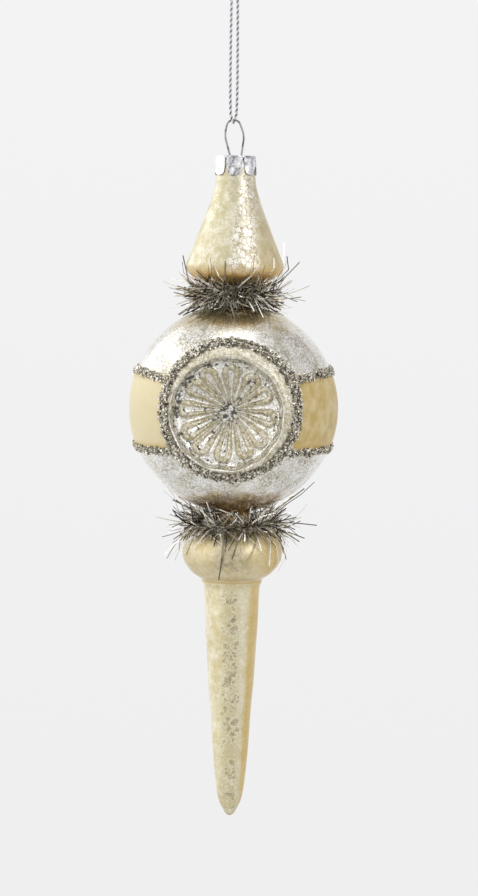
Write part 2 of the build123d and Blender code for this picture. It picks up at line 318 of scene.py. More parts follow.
def champagne_mercury(tree):
    """The icicle: pale champagne satin, greyer down its front where a painted reflection of the darker room
    lies, and where lacy round spots show; its deeper gold edges are painted shade and a pale band either
    side is a painted highlight.
    """
    coords = object_coords(tree)
    x, _, z = axes(tree, coords)
    mottle = noise(tree, coords, 5.0, 5, 0.62)[0]
    grain = noise(tree, coords, 0.8, 4, 0.65)[0]
    lines, tone = crackle(tree, coords, 1.7, 0.16)
    colour = mix(tree, ramp(tree, mottle, 0.33, 0.67), srgb(214, 202, 158), srgb(236, 229, 202))
    colour = mix(tree, ramp(tree, grain, 0.5, 0.75, 0.0, 0.35), colour, srgb(190, 174, 124))
    colour = mix(tree, ramp(tree, tone, 0.55, 0.85, 0.0, 0.3), colour, srgb(246, 242, 226))
    share = add(tree, "MapRange", {"Value": z, 1: -60.0, 2: -135.0, 3: 1.0, 4: 0.45}).outputs[0]
    across = maths(tree, "DIVIDE", x, share)
    below = ramp(tree, z, -56.0, -60.5)
    # Painted shade: deeper gold towards the icicle's edges below the collar, and towards its right side all
    # the way up.
    gold = times(tree, ramp(tree, across, 5.4, 8.0), below)
    gold = maths(tree, "MAXIMUM", gold, ramp(tree, x, 6.5, 15.0, 0.0, 0.85))
    colour = mix(tree, ramp(tree, below, 0.0, 1.0, 0.4, 0.0), colour, srgb(196, 172, 118))
    colour = mix(tree, times(tree, gold, 0.75), colour, srgb(208, 177, 96))
    # Painted highlight: a pale band either side of the front, between the middle and the edges, below the
    # collar.
    pale = times(tree, between(tree, across, 3.9, 5.6, 1.5), below)
    colour = mix(tree, times(tree, pale, 0.5), colour, srgb(222, 218, 204))
    # Painted reflection: a greyer strip down the front, below the collar, stands for the darker room
    # reflected there; the spots further on keep to the same strip.
    front = between(tree, x, -2.9, 3.0, 1.5)
    strip = times(tree, front, ramp(tree, z, -59.0, -62.0))
    colour = mix(tree, times(tree, strip, 0.75), colour, srgb(208, 197, 156))
    wander = warped(tree, coords, 1.2, 0.5)
    cluster = ramp(tree, noise(tree, coords, 5.0, 2)[0], 0.36, 0.62, 0.55, 1.3)
    cluster = times(tree, strip, cluster)
    for size_mm, most in ((2.6, 0.62), (1.3, 0.52), (0.75, 0.42)):
        spots = voronoi(tree, wander, size_mm)
        size = add(tree, "SeparateColor", {0: spots[1]}).outputs[1]
        reach = times(tree, size, times(tree, cluster, most))
        depth = maths(tree, "SUBTRACT", reach, spots[0])
        rim = between(tree, depth, -0.14, -0.02, 0.05)
        halo = times(tree, rim, times(tree, strip, 0.6))
        colour = mix(tree, halo, colour, srgb(240, 236, 216))
        colour = mix(tree, ramp(tree, depth, -0.1, 0.2, 0.0, 0.6), colour, srgb(154, 141, 106))
    colour = mix(tree, times(tree, lines, 0.22), colour, srgb(176, 158, 110))
    # Painted shade: a darker gold line along the crease under the collar.
    crease = between(tree, z, -58.4, -57.9, 0.35)
    colour = mix(tree, times(tree, crease, 0.7), colour, srgb(190, 152, 70))
    # Grey blotches across the front of the collar's bulge.
    collar = times(tree, between(tree, x, -5.0, 5.0, 3.0), between(tree, z, -53.5, -47.0, 2.0))
    collar_blots = ramp(tree, noise(tree, coords, 1.6, 4, 0.7)[0], 0.42, 0.6, 0.15, 0.75)
    grey = times(tree, collar, collar_blots)
    colour = mix(tree, grey, colour, srgb(150, 140, 120))
    rough = ramp(tree, mottle, 0.3, 0.7, 0.48, 0.34)
    return {"Base Color": colour, "Roughness": rough, "Normal": bump(tree, grain, 0.02, 0.4)}


def silver_mercury(tree):
    """The ball: bright silver with a fine beige crackle, tan petals, and gold towards both poles."""
    coords = object_coords(tree)
    z = axes(tree, coords)[2]
    lines, tone = crackle(tree, coords, 1.5, 0.14)
    fine_lines = crackle(tree, coords, 0.62, 0.22)[0]
    mottle = noise(tree, coords, 6.0, 4)[0]
    colour = mix(tree, ramp(tree, mottle, 0.3, 0.6), srgb(236, 234, 226), srgb(254, 254, 252))
    colour = mix(tree, ramp(tree, tone, 0.7, 0.95, 0.0, 0.4), colour, srgb(222, 217, 204))
    patch = ramp(tree, noise(tree, coords, 7.0, 4, 0.6)[0], 0.38, 0.6, 0.42, 0.95)
    colour = mix(tree, times(tree, lines, patch), colour, srgb(150, 139, 110))
    fine = times(tree, fine_lines, ramp(tree, patch, 0.0, 1.0, 0.16, 0.5))
    colour = mix(tree, fine, colour, srgb(146, 136, 110))
    height = maths(tree, "ABSOLUTE", maths(tree, "ADD", z, ramp(tree, mottle, 0.3, 0.7, -1.5, 1.5)))
    pole = ramp(tree, height, 25.0, 32.0)
    gold = mix(tree, ramp(tree, z, -30.0, 30.0), srgb(204, 164, 92), srgb(206, 186, 130))
    gold = mix(tree, times(tree, fine_lines, 0.6), gold, srgb(112, 88, 46))
    colour = mix(tree, times(tree, pole, 0.9), colour, gold)
    blotch = noise(tree, coords, 1.1, 4, 0.65)[0]
    tan = mix(tree, ramp(tree, blotch, 0.38, 0.6), srgb(188, 174, 132), srgb(244, 240, 224))
    tan = mix(tree, times(tree, fine_lines, 0.55), tan, srgb(118, 104, 72))
    # The petals' tan, left pale in their middles as a partly painted highlight.
    colour = mix(tree, attribute(tree, "tan"), colour, tan)
    speck = attribute(tree, "speck")
    thick = times(tree, maths(tree, "SUBTRACT", speck, 1.0), 0.16)
    flecks = ramp(tree, maths(tree, "ADD", noise(tree, coords, 1.25, 3, 0.6)[0], thick), 0.48, 0.52)
    dark = times(tree, flecks, ramp(tree, speck, 0.02, 0.3, 0.0, 0.9))
    colour = mix(tree, dark, colour, srgb(46, 44, 38))
    rough = ramp(tree, attribute(tree, "tan"), 0.0, 1.0, 0.2, 0.5)
    return {"Base Color": colour, "Roughness": rough, "Normal": bump(tree, lines, 0.03, 0.5)}


def enamel(tree):
    """Matt gold paint, creamier on the left and darker on the right as painted shade, with faint brushing
    and darker gold towards the glitter bands.
    """
    coords = object_coords(tree)
    x, _, z = axes(tree, coords)
    # Painted shade: cream on the left, darker gold on the right.
    colour = mix(tree, ramp(tree, x, -30.0, 30.0), srgb(216, 204, 164), srgb(184, 158, 90))
    cloud = noise(tree, coords, 5.0, 5, 0.6)[0]
    colour = mix(tree, ramp(tree, cloud, 0.35, 0.7, 0.0, 0.5), colour, srgb(224, 212, 174))
    grain = noise(tree, coords, 0.35, 4, 0.7)[0]
    colour = mix(tree, ramp(tree, grain, 0.45, 0.75, 0.0, 0.35), colour, srgb(188, 164, 108))
    # Darker, more orange gold near the top and bottom edges, by the glitter bands.
    edge = ramp(tree, maths(tree, "ABSOLUTE", z), 9.5, 11.5, 0.0, 0.5)
    colour = mix(tree, edge, colour, srgb(200, 168, 98))
    rough = ramp(tree, grain, 0.3, 0.7, 0.45, 0.6)
    return {"Base Color": colour, "Roughness": rough, "Normal": bump(tree, grain, 0.02, 0.5)}


def glitter_grains(tree):
    """Tarnished silver flakes, each with its own tone."""
    tone = attribute(tree, "tone")
    colour = mix(tree, ramp(tree, tone, 0.0, 0.55), srgb(92, 86, 74), srgb(214, 208, 192))
    colour = mix(tree, ramp(tree, tone, 0.6, 0.98), colour, srgb(246, 244, 236))
    stain = noise(tree, object_coords(tree), 1.5, 3)[0]
    colour = mix(tree, ramp(tree, stain, 0.5, 0.75, 0.0, 0.35), colour, srgb(110, 92, 60))
    return {"Base Color": colour, "Roughness": ramp(tree, tone, 0.0, 1.0, 0.34, 0.14)}


def foil_strands(tree):
    """Cut foil, from bright silver to an antique brown that is almost black."""
    tone = attribute(tree, "tone")
    colour = mix(tree, ramp(tree, tone, 0.05, 0.5), srgb(56, 49, 39), srgb(190, 181, 160))
    colour = mix(tree, ramp(tree, tone, 0.5, 0.9), colour, srgb(248, 246, 238))
    streak = noise(tree, object_coords(tree), 0.9, 3)[0]
    colour = mix(tree, ramp(tree, streak, 0.5, 0.75, 0.0, 0.4), colour, srgb(92, 78, 54))
    return {"Base Color": colour, "Roughness": ramp(tree, streak, 0.3, 0.7, 0.2, 0.38)}


def tarnished_wire(tree):
    cloud = noise(tree, object_coords(tree), 0.8, 3)[0]
    colour = mix(tree, ramp(tree, cloud, 0.35, 0.65), srgb(92, 82, 64), srgb(164, 156, 140))
    return {"Base Color": colour, "Roughness": ramp(tree, cloud, 0.3, 0.7, 0.3, 0.5)}


def cap_sheet(tree):
    """Thin bright metal with smudges and a fine rolled grain; the smudges and dark blots are faint on the
    left and full in the middle and on the right, which is partly painted shade.
    """
    coords = object_coords(tree)
    cloud = noise(tree, coords, 2.0, 4, 0.6)[0]
    # Painted shade, with the smudges: the left side is kept bright and the middle and right are dulled and
    # blotted.
    smudge_and_shade_side = ramp(tree, axes(tree, coords)[0], -4.5, -2.5, 0.15, 1.0)
    dull = times(tree, ramp(tree, cloud, 0.4, 0.62), smudge_and_shade_side)
    colour = mix(tree, dull, srgb(246, 246, 248), srgb(168, 168, 174))
    blot = ramp(tree, noise(tree, coords, 1.1, 3)[0], 0.56, 0.64, 0.0, 0.7)
    colour = mix(tree, times(tree, blot, smudge_and_shade_side), colour, srgb(112, 110, 110))
    scratch = noise(tree, coords, 0.3, 3)[0]
    rough = ramp(tree, scratch, 0.3, 0.7, 0.16, 0.34)
    return {"Base Color": colour, "Roughness": rough, "Normal": bump(tree, cloud, 0.06, 0.4)}


def drawn_wire(tree):
    coords = object_coords(tree)
    cloud = noise(tree, coords, 1.2, 3)[0]
    colour = mix(tree, ramp(tree, cloud, 0.35, 0.65), srgb(104, 103, 100), srgb(168, 167, 164))
    return {"Base Color": colour, "Roughness": ramp(tree, cloud, 0.3, 0.7, 0.22, 0.4)}


def cord_thread(tree):
    """Metallic thread: bright dashes with darker gaps between the fibres."""
    coords = object_coords(tree)
    fibre = noise(tree, coords, 0.18, 3, 0.6)[0]
    bright = mix(tree, ramp(tree, fibre, 0.35, 0.6), srgb(170, 170, 174), srgb(240, 240, 243))
    dark = mix(tree, ramp(tree, fibre, 0.35, 0.6), srgb(58, 58, 62), srgb(104, 104, 108))
    colour = mix(tree, attribute(tree, "tone"), dark, bright)
    rough = ramp(tree, fibre, 0.3, 0.7, 0.5, 0.28)
    return {"Base Color": colour, "Roughness": rough, "Normal": bump(tree, fibre, 0.03, 0.6)}


def floor_paint(tree):
    cloud = noise(tree, object_coords(tree), 60.0, 3)[0]
    return {"Base Color": mix(tree, cloud, srgb(212, 212, 212), srgb(219, 219, 219))}


def make_world():
    """A white studio: seen directly it is the pale backdrop, and it is darker round the camera."""
    world = bpy.data.worlds.new("studio")
    bpy.context.scene.world = world
    world.use_nodes = True
    tree = world.node_tree
    tree.nodes.clear()
    towards = add(tree, "TexCoord").outputs["Generated"]
    x, _, z = add(tree, "SeparateXYZ", {0: towards}).outputs
    backdrop = mix(tree, ramp(tree, z, -0.25, 0.1), srgb(239, 239, 240), srgb(243, 243, 244))
    camera_side = add(tree, "VectorMath", {0: towards, 1: tuple(direction(6, 2))}, operation="DOT_PRODUCT")
    shade = ramp(tree, camera_side.outputs["Value"], 0.8, 0.98)
    room = mix(tree, ramp(tree, x, -0.9, 0.9), (1.02, 1.02, 1.01, 1), (0.84, 0.84, 0.85, 1))
    grey_side = add(tree, "VectorMath", {0: towards, 1: (0.68, 0.43, 0.6)}, operation="DOT_PRODUCT")
    inside = grey_side.outputs["Value"]
    room = mix(tree, between(tree, inside, 0.93, 0.955, 0.004), room, (0.36, 0.3, 0.2, 1))
    room = mix(tree, ramp(tree, inside, 0.95, 0.96), room, (0.76, 0.75, 0.77, 1))
    room = mix(tree, shade, room, (0.72, 0.72, 0.73, 1))
    seen = add(tree, "LightPath").outputs["Is Camera Ray"]
    colour = mix(tree, seen, room, backdrop)
    shader = add(tree, "Background", {"Color": colour})
    out = tree.nodes.new("ShaderNodeOutputWorld")
    tree.links.new(shader.outputs[0], out.inputs[0])


# ---------------------------------------------------------------- mesh work


def placed(points):
    """Millimetres round the glass's axis, from the ball's centre, as metres in the row frame."""
    return np.asarray(points, float) * MM + np.array(BALL_CENTRE)


def grid_faces(rows, columns, wrap=True):
    """Quads between the rows of a grid, which close on themselves if wrap is true."""
    row = np.arange(rows - 1)[:, None] * columns
    here = np.arange(columns if wrap else columns - 1)
    there = (here + 1) % columns
    quads = [row + here, row + there, row + there + columns, row + here + columns]
    return np.stack(quads, axis=-1).reshape(-1, 4).tolist()


def unit(vectors):
    return vectors / np.linalg.norm(vectors, axis=-1, keepdims=True)


def joined(parts):
    """Several (points, faces) put together as one."""
    points, faces, count = [], [], 0
    for some, some_faces in parts:
        some = np.asarray(some, float).reshape(-1, 3)
        points.append(some)
        faces += [[corner + count for corner in face] for face in some_faces]
        count += len(some)
    return np.concatenate(points), faces


def piece(name, shape, look_of, body, slot, nodes, smooth=True, **marks):
    """A mesh object from (points, faces) that rides on a body and stands for CAD nodes.
    marks are named numbers for each point, which its material reads."""
    points, faces = shape
    mesh = bpy.data.meshes.new(name)
    mesh.from_pydata(placed(points).tolist(), [], faces)
    mesh.polygons.foreach_set("use_smooth", [smooth] * len(mesh.polygons))
    for key, values in marks.items():
        mesh.attributes.new(key, "FLOAT", "POINT").data.foreach_set("value", np.asarray(values, float))
    mesh.materials.append(look_of)
    made = bpy.data.objects.new(name, mesh)
    bpy.context.collection.objects.link(made)
    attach(made, body)
    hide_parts(*nodes)
    return made


def smooth_line(points, steps):
    """A Catmull-Rom curve through the points, with so many steps between each two."""
    points = np.asarray(points, float)
    ends = np.concatenate([[2 * points[0] - points[1]], points, [2 * points[-1] - points[-2]]])
    share = np.linspace(0, 1, steps, endpoint=False)[:, None]
    spans = []
    for a, b, c, d in zip(ends, ends[1:], ends[2:], ends[3:]):
        bend = 2 * b + (c - a) * share + (2 * a - 5 * b + 4 * c - d) * share**2
        spans.append((bend + (3 * b - 3 * c + d - a) * share**3) / 2)
    return np.concatenate(spans + [points[-1:]])


def turned(outline, segments, wobble):
    """An outline of (radius, height) turned round the axis, as rings of points.
    wobble is the unevenness of blown glass, one for all the rings or one for each."""
    angle = np.linspace(0, math.tau, segments, endpoint=False)
    radius, height = outline[:, :1], outline[:, 1:]
    uneven = np.sin(2 * angle + height / 9) + 0.6 * np.sin(3 * angle - height / 6 + 1)
    radius = np.maximum(radius + wobble * uneven, 0)
    return np.stack([radius * np.cos(angle), radius * np.sin(angle), height + 0 * angle], axis=-1)


def closed_ends(rings, low_pole, high_pole):
    """Rings of points as a closed surface, with a fan of triangles to a pole at either end."""
    count, columns = rings.shape[:2]
    faces = grid_faces(count, columns)
    low, last = count * columns, (count - 1) * columns
    for column in range(columns):
        following = (column + 1) % columns
        faces.append([low, following, column])
        faces.append([low + 1, last + column, last + following])
    return np.concatenate([rings.reshape(-1, 3), [low_pole, high_pole]]), faces


def lathe(outline, segments, wobble=0.0):
    """A solid from an outline given from the bottom up, less uneven where it is thin."""
    rings = turned(outline, segments, wobble * np.minimum(outline[:, :1] / NECK_R, 1))
    return closed_ends(rings, (0, 0, outline[0, 1]), (0, 0, outline[-1, 1]))


def tube(path, radius, sides=8):
    """A round tube along a line of points, with closed ends. radius may change along it."""
    path = np.asarray(path, float)
    across, over = carried_axes(path)
    angle = np.linspace(0, math.tau, sides, endpoint=False)[None, :, None]
    thick = (np.zeros(len(path)) + radius)[:, None, None]
    rings = path[:, None] + thick * (np.cos(angle) * across[:, None] + np.sin(angle) * over[:, None])
    faces = grid_faces(len(path), sides)
    last = (len(path) - 1) * sides
    faces += [list(range(sides))[::-1], [last + side for side in range(sides)]]
    return rings.reshape(-1, 3), faces


def carried_axes(path):
    """Two directions at each point of a line, square to it and to each other, that don't spin."""
    along = unit(np.gradient(path, axis=0))
    start = np.cross(along[0], (0.31, 0.87, 0.38))
    across = [start / np.linalg.norm(start)]
    for ahead in along[1:]:
        carried = across[-1] - ahead * np.dot(ahead, across[-1])
        across.append(carried / np.linalg.norm(carried))
    across = np.array(across)
    return across, np.cross(along, across)


def run_along(path):
    """How far along a line each of its points is."""
    return np.concatenate([[0], np.cumsum(np.linalg.norm(np.diff(path, axis=0), axis=1))])


def even_steps(path, step):
    """The same line with its points a fixed step apart."""
    path = np.asarray(path, float)
    run = run_along(path)
    wanted = np.linspace(0, run[-1], max(2, round(run[-1] / step) + 1))
    return np.stack([np.interp(wanted, run, path[:, axis]) for axis in range(3)], axis=-1)


def plies(path, count, ply_r, offset, pitch, sides=7):
    """A cord of twisted plies along a line."""
    across, over = carried_axes(path)
    run = run_along(path)
    parts = []
    for ply in range(count):
        angle = (math.tau * (run / pitch + ply / count))[:, None]
        line = path + offset * (np.cos(angle) * across + np.sin(angle) * over)
        parts.append(tube(line, ply_r, sides))
    return joined(parts)


def ply_tones(shape, count):
    """A number for each point of a cord, nought on its first ply and one on the others."""
    per_ply = len(shape[0]) // count
    return np.repeat(np.minimum(np.arange(count), 1), per_ply)


def slab(outer, inner):
    """A closed thin sheet between two grids of points with the same rows and columns."""
    rows, columns = outer.shape[:2]
    count = rows * columns
    front = grid_faces(rows, columns, wrap=False)
    faces = front + [[corner + count for corner in face[::-1]] for face in front]
    edge = [(0, column) for column in range(columns)]
    edge += [(row, columns - 1) for row in range(1, rows)]
    edge += [(rows - 1, column) for column in range(columns - 2, -1, -1)]
    edge += [(row, 0) for row in range(rows - 2, 0, -1)]
    rim = [row * columns + column for row, column in edge]
    for here, there in zip(rim, rim[1:] + rim[:1]):
        faces.append([there, here, here + count, there + count])
    return np.concatenate([outer.reshape(-1, 3), inner.reshape(-1, 3)]), faces


def plates(centres, facing, sizes, thickness, corners, rng):
    """Thin closed flakes, each an uneven polygon that faces its own way."""
    count = len(centres)
    across = unit(np.cross(facing, rng.normal(size=facing.shape)))
    over = np.cross(facing, across)
    angle = np.linspace(0, math.tau, corners, endpoint=False) + rng.uniform(-0.3, 0.3, (count, corners))
    reach = (sizes / 2)[:, None] * rng.uniform(0.65, 1.15, (count, corners))
    aside, ahead = reach * np.cos(angle), reach * np.sin(angle)
    flat = aside[..., None] * across[:, None] + ahead[..., None] * over[:, None]
    middle = centres[:, None] + flat
    half = facing[:, None] * thickness / 2
    points = np.concatenate([middle + half, middle - half], axis=1)
    top = list(range(corners))
    one = [top, [corner + corners for corner in reversed(top)]]
    for corner in top:
        following = (corner + 1) % corners
        one.append([following, corner, corner + corners, following + corners])
    faces = [[corner + flake * 2 * corners for corner in face] for flake in range(count) for face in one]
    return points.reshape(-1, 3), faces


RIBBON_CORNERS = 4


def ribbons(lines, widths, thickness, rng):
    """Thin closed strips along lines, given as an array of (strip, step, xyz)."""
    count, steps = lines.shape[:2]
    along = unit(np.gradient(lines, axis=1))
    side = unit(np.cross(along, rng.normal(size=(count, 1, 3))))
    flat = np.cross(along, side)
    wide = side * (widths / 2)[:, None, None]
    thin = flat * thickness / 2
    corners = [lines + wide + thin, lines - wide + thin, lines - wide - thin, lines + wide - thin]
    points = np.stack(corners, axis=2).reshape(-1, 3)
    last = (steps - 1) * RIBBON_CORNERS
    one = grid_faces(steps, RIBBON_CORNERS) + [[3, 2, 1, 0], [last, last + 1, last + 2, last + 3]]
    whole = steps * RIBBON_CORNERS
    faces = [[corner + strip * whole for corner in face] for strip in range(count) for face in one]
    return points, faces


# ---------------------------------------------------------------- glass

finial_outer = np.concatenate([FINIAL_MOUTH[:2], smooth_line(FINIAL_MOUTH[2:] + FINIAL_CURVE, 22)])
drop_outer = smooth_line(DROP_CURVE, 14)


def outward(outline):
    """The unit normals of an outline given from the top down, away from the axis side."""
    run = unit(np.gradient(outline, axis=0))
    return np.stack([-run[:, 1], run[:, 0]], axis=-1)


def make_finial(look_of):
    """A shell with an open mouth under the cap, because the cap and its wire can be pulled out."""
    inner = finial_outer - outward(finial_outer) * GLASS_WALL
    inner[:, 0] = np.clip(inner[:, 0], 1.0, finial_outer[:, 0] - GLASS_WALL / 2)
    inner[0, 1], inner[-1, 1] = finial_outer[0, 1], finial_outer[-1, 1]
    rings = turned(np.concatenate([finial_outer[::-1], inner[::4]]), 220, 0.03)
    points = rings.reshape(-1, 3)
    faces = (np.array(grid_faces(len(rings) + 1, rings.shape[1])) % len(points)).tolist()
    return piece("finial", (points, faces), look_of, "glass", "gold_mercury_glass", ["finial_glass"])


def make_drop(look_of):
    """The collar and the icicle, with the small crease where the collar was drawn in."""
    outline = drop_outer.copy()
    outline[:, 0] += 0.22 * np.exp(-(((outline[:, 1] + 59.0) / 0.55) ** 2))
    outline[:, 0] -= 0.18 * np.exp(-(((outline[:, 1] + 57.6) / 0.5) ** 2))
    shape = lathe(outline[::-1][1:], 180, 0.05)
    return piece("icicle", shape, look_of, "glass", "champagne_mercury_glass", ["drop_glass"])


def petal_depth(x, z):
    """How far each point of the dish is inside the nearest petal, in millimetres and negative outside,
    and the petal's half width there."""
    deepest = np.full(np.shape(x), -9.0)
    half_width = np.ones(np.shape(x))
    root = np.array(PETAL_ROOT)
    for petal in range(PETAL_COUNT):
        turn = math.radians(PETAL_TURN + petal * 360 / PETAL_COUNT + 2.2 * math.sin(petal * 2.1))
        reach = PETAL_REACH + 0.25 * math.sin(petal * 1.7 + 1)
        tip = reach * np.array([math.cos(turn), math.sin(turn)])
        length = np.linalg.norm(tip - root)
        ahead = (tip - root) / length
        run = (x - root[0]) * ahead[0] + (z - root[1]) * ahead[1]
        aside = np.abs((x - root[0]) * ahead[1] - (z - root[1]) * ahead[0])
        slope = PETAL_TIP_R / length
        rise = math.sqrt(1 - slope**2)
        past = run * rise + aside * slope > length * rise
        flank = np.where(run > 0, run * slope - aside * rise, -9.0)
        depth = np.where(past, PETAL_TIP_R - np.hypot(run - length, aside), flank)
        nearer = depth > deepest
        deepest = np.where(nearer, depth, deepest)
        half_width = np.where(nearer, np.clip(run * slope, 0.4, PETAL_TIP_R), half_width)
    return deepest, half_width


def smooth_step(value, low, high):
    share = np.clip((value - low) / (high - low), 0, 1)
    return share * share * (3 - 2 * share)


def dish_relief(u, angle, lip):
    """The reflector's distance in front of the ball's centre, and its marks for the material."""
    depth, half_width = petal_depth(u * np.cos(angle), u * np.sin(angle))
    inside = np.clip(depth, 0, None)
    across = inside / half_width
    middle_fade = smooth_step(u, 1.2, 4.5)
    dome = 1.15 * np.sin(math.pi / 2 * np.clip(inside / np.minimum(half_width, 1.5), 0, 1))
    pit = 0.8 * smooth_step(across, 0.5, 0.85)
    scallop = 0.35 * np.cos(PETAL_COUNT * (angle - math.radians(PETAL_TURN)))
    sunk = 1.1 * smooth_step(u, 12.5, WALL_FOOT_R - 0.2)
    wall = 1.7 * smooth_step(u + scallop, WALL_FOOT_R, WALL_TOP_R)
    near_lip = smooth_step(u, WALL_TOP_R - 0.5, DISH_LIP_R)
    front = DISH_FLOOR + DISH_CURVE * u**2 - sunk + wall
    front = front * (1 - near_lip) + lip * near_lip
    front = front + (dome - pit) * middle_fade + 0.4 * np.exp(-((u / 1.5) ** 2))
    # Tan in the petals, fading to silver-white in each petal's middle; that pale middle is partly painted
    # highlight.
    tan = smooth_step(depth, 0.15, 0.45) * (1 - 0.85 * smooth_step(across, 0.52, 0.78)) * middle_fade
    wall_gold = 0.75 * smooth_step(u, WALL_TOP_R - 0.4, WALL_TOP_R + 0.4)
    foot = np.exp(-(((u - WALL_FOOT_R + 0.4) / 1.3) ** 2))
    upper_left = np.cos(angle - math.radians(150)) * 0.5 + 0.5
    speck = 0.95 * np.exp(-((u / 4.2) ** 4)) + foot * (0.4 + 0.6 * upper_left**2)
    stained = 0.5 + 0.5 * np.sin(2.0 * angle + 0.6)
    speck = np.maximum(speck, (0.15 + 0.45 * stained) * smooth_step(across, 0.4, 0.65) * middle_fade)
    return front, np.clip(np.maximum(tan, wall_gold), 0, 1), np.clip(speck, 0, 1)


def dish_rows(angle):
    """The dish as rows of points round its axis, from the lip in to its middle."""
    u = np.linspace(DISH_LIP_R, 0.25, 88)[:, None]
    lip_x = DISH_LIP_R * np.cos(angle) + LIP_SHIFT[0]
    lip_z = DISH_LIP_R * np.sin(angle) + LIP_SHIFT[1]
    front, tan, speck = dish_relief(u, angle, np.sqrt(BALL_R**2 - lip_x**2 - lip_z**2))
    drift = smooth_step(u, WALL_TOP_R, DISH_LIP_R)
    x = u * np.cos(angle) + DISH_SHIFT[0] * (1 - drift) + LIP_SHIFT[0] * drift
    z = u * np.sin(angle) + DISH_SHIFT[1] * (1 - drift) + LIP_SHIFT[1] * drift
    return np.stack([x, -front, z], axis=-1), tan, speck


def make_ball(look_of):
    """The ball as rings round the reflectors' axis: front dish, sphere, back dish. Necks are added."""
    angle = np.linspace(0, math.tau, 384, endpoint=False)
    dish, tan, speck = dish_rows(angle)
    lip = math.asin(DISH_LIP_R / BALL_R)
    polar = np.linspace(lip, math.pi - lip, 72)[1:-1, None]
    ring = BALL_R * np.sin(polar)
    drift = smooth_step(np.abs(np.cos(polar)), 0.5, math.cos(lip))
    x = ring * np.cos(angle) + LIP_SHIFT[0] * drift
    z = ring * np.sin(angle) + LIP_SHIFT[1] * drift
    y = -np.sign(np.cos(polar)) * np.sqrt(np.clip(BALL_R**2 - x**2 - z**2, 0, None))
    sphere = np.stack([x, y, z], axis=-1)
    sphere_tan = smooth_step(ring, 23.5, 21.5) * 0.75 + 0 * angle
    rows = np.concatenate([dish[::-1], sphere, dish * np.array([1, -1, 1])])
    tans = np.concatenate([tan[::-1], sphere_tan, tan]).ravel()
    specks = np.concatenate([speck[::-1], 0 * sphere_tan, speck]).ravel()
    ball = closed_ends(rows, rows[0].mean(axis=0), rows[-1].mean(axis=0))
    foot = math.sqrt(BALL_R**2 - NECK_R**2) - 0.6
    flare = [(NECK_R + 1.2, foot), (NECK_R + 0.4, foot + 0.6), (NECK_R, foot + 1.5), (NECK_R, SEAM_Z)]
    upper = lathe(smooth_line(flare, 4), 72)
    lower = (upper[0] * np.array([1, 1, -1]), [face[::-1] for face in upper[1]])
    shape = joined([ball, upper, lower])
    marks = {"tan": np.zeros(len(shape[0])), "speck": np.zeros(len(shape[0]))}
    marks["tan"][: len(tans)] = tans
    marks["speck"][: len(specks)] = specks
    return piece("reflector_ball", shape, look_of, "glass", "silver_mercury_glass", ["ball_glass"], **marks)


# ---------------------------------------------------------------- glitter and enamel


def flakes_on_ball(centres, rng, sizes):
    """Glitter flakes that stand at all angles on the ball, with a tone for each point."""
    away = unit(centres)
    facing = unit(away + rng.normal(scale=0.55, size=centres.shape))
    lift = rng.uniform(0.1, 0.85, len(centres))[:, None]
    shape = plates(centres + away * lift, facing, sizes, FLAKE_THICK, FLAKE_CORNERS, rng)
    tone = rng.beta(1.2, 1.3, len(centres))
    return shape, np.repeat(tone, 2 * FLAKE_CORNERS)


def bead(line, away, half_width, height):
    """The glue bed under the grains: a low mound along a line on the ball."""
    sides = 10
    along = unit(np.gradient(line, axis=0))
    side = unit(np.cross(along, away))
    angle = np.linspace(0, math.tau, sides, endpoint=False)[None, :, None]
    wide = half_width[:, None, None] * np.cos(angle) * side[:, None]
    tall = height * np.sin(angle) * away[:, None]
    points = line[:, None] + wide + tall
    faces = [face[::-1] for face in grid_faces(len(line), sides)]
    last = (len(line) - 1) * sides
    faces += [list(range(sides)), [last + corner for corner in reversed(range(sides))]]
    return points.reshape(-1, 3), faces


def glitter(name, line, width, count, seed, look_of):
    """Grains of glitter in their bed along a line on the ball."""
    rng = np.random.default_rng(seed)
    away = unit(line)
    along = unit(np.gradient(line, axis=0))
    side = np.cross(along, away)
    where = rng.uniform(0, len(line) - 1, count)
    index = where.astype(int)
    wander = 0.35 * np.sin(where * 0.9) + 0.25 * np.sin(where * 2.3 + seed)
    offset = width * (rng.uniform(-0.5, 0.5, count) * 0.85 + rng.normal(0, 0.09, count)) + wander * 0.5
    share = (where - index)[:, None]
    centres = line[index] * (1 - share) + line[np.minimum(index + 1, len(line) - 1)] * share
    centres = unit(centres + side[index] * offset[:, None]) * BALL_R
    shape, tone = flakes_on_ball(centres, rng, rng.uniform(0.45, 1.15, count))
    uneven = 0.4 * width + 0.15 * np.sin(np.arange(len(line)) * 0.9)
    bed = bead(line, away, uneven, 0.42)
    both = joined([shape, bed])
    tones = np.concatenate([tone, np.full(len(bed[0]), 0.12)])
    nodes = [f"glitter_{name}"]
    return piece(name, both, look_of, "glass", "silver_glitter", nodes, smooth=False, tone=tones)


def ring_line(side):
    """The glitter ring's middle line on the ball. The front one sits a little high."""
    angle = np.linspace(0, math.tau, 181)
    shift = RING_SHIFT if side == FRONT else (0, 0)
    x = RING_R * np.cos(angle) + shift[0]
    z = RING_R * np.sin(angle) + shift[1]
    return np.stack([x, side * np.sqrt(BALL_R**2 - x**2 - z**2), z], axis=-1)


def ring_edge_angle(z):
    """Where a level line on the ball meets the glitter rings, as an angle from the X axis."""
    reach = math.sqrt(max(RING_R**2 - z**2, 0.0))
    return math.acos(min(1.0, reach / math.sqrt(BALL_R**2 - z**2)))


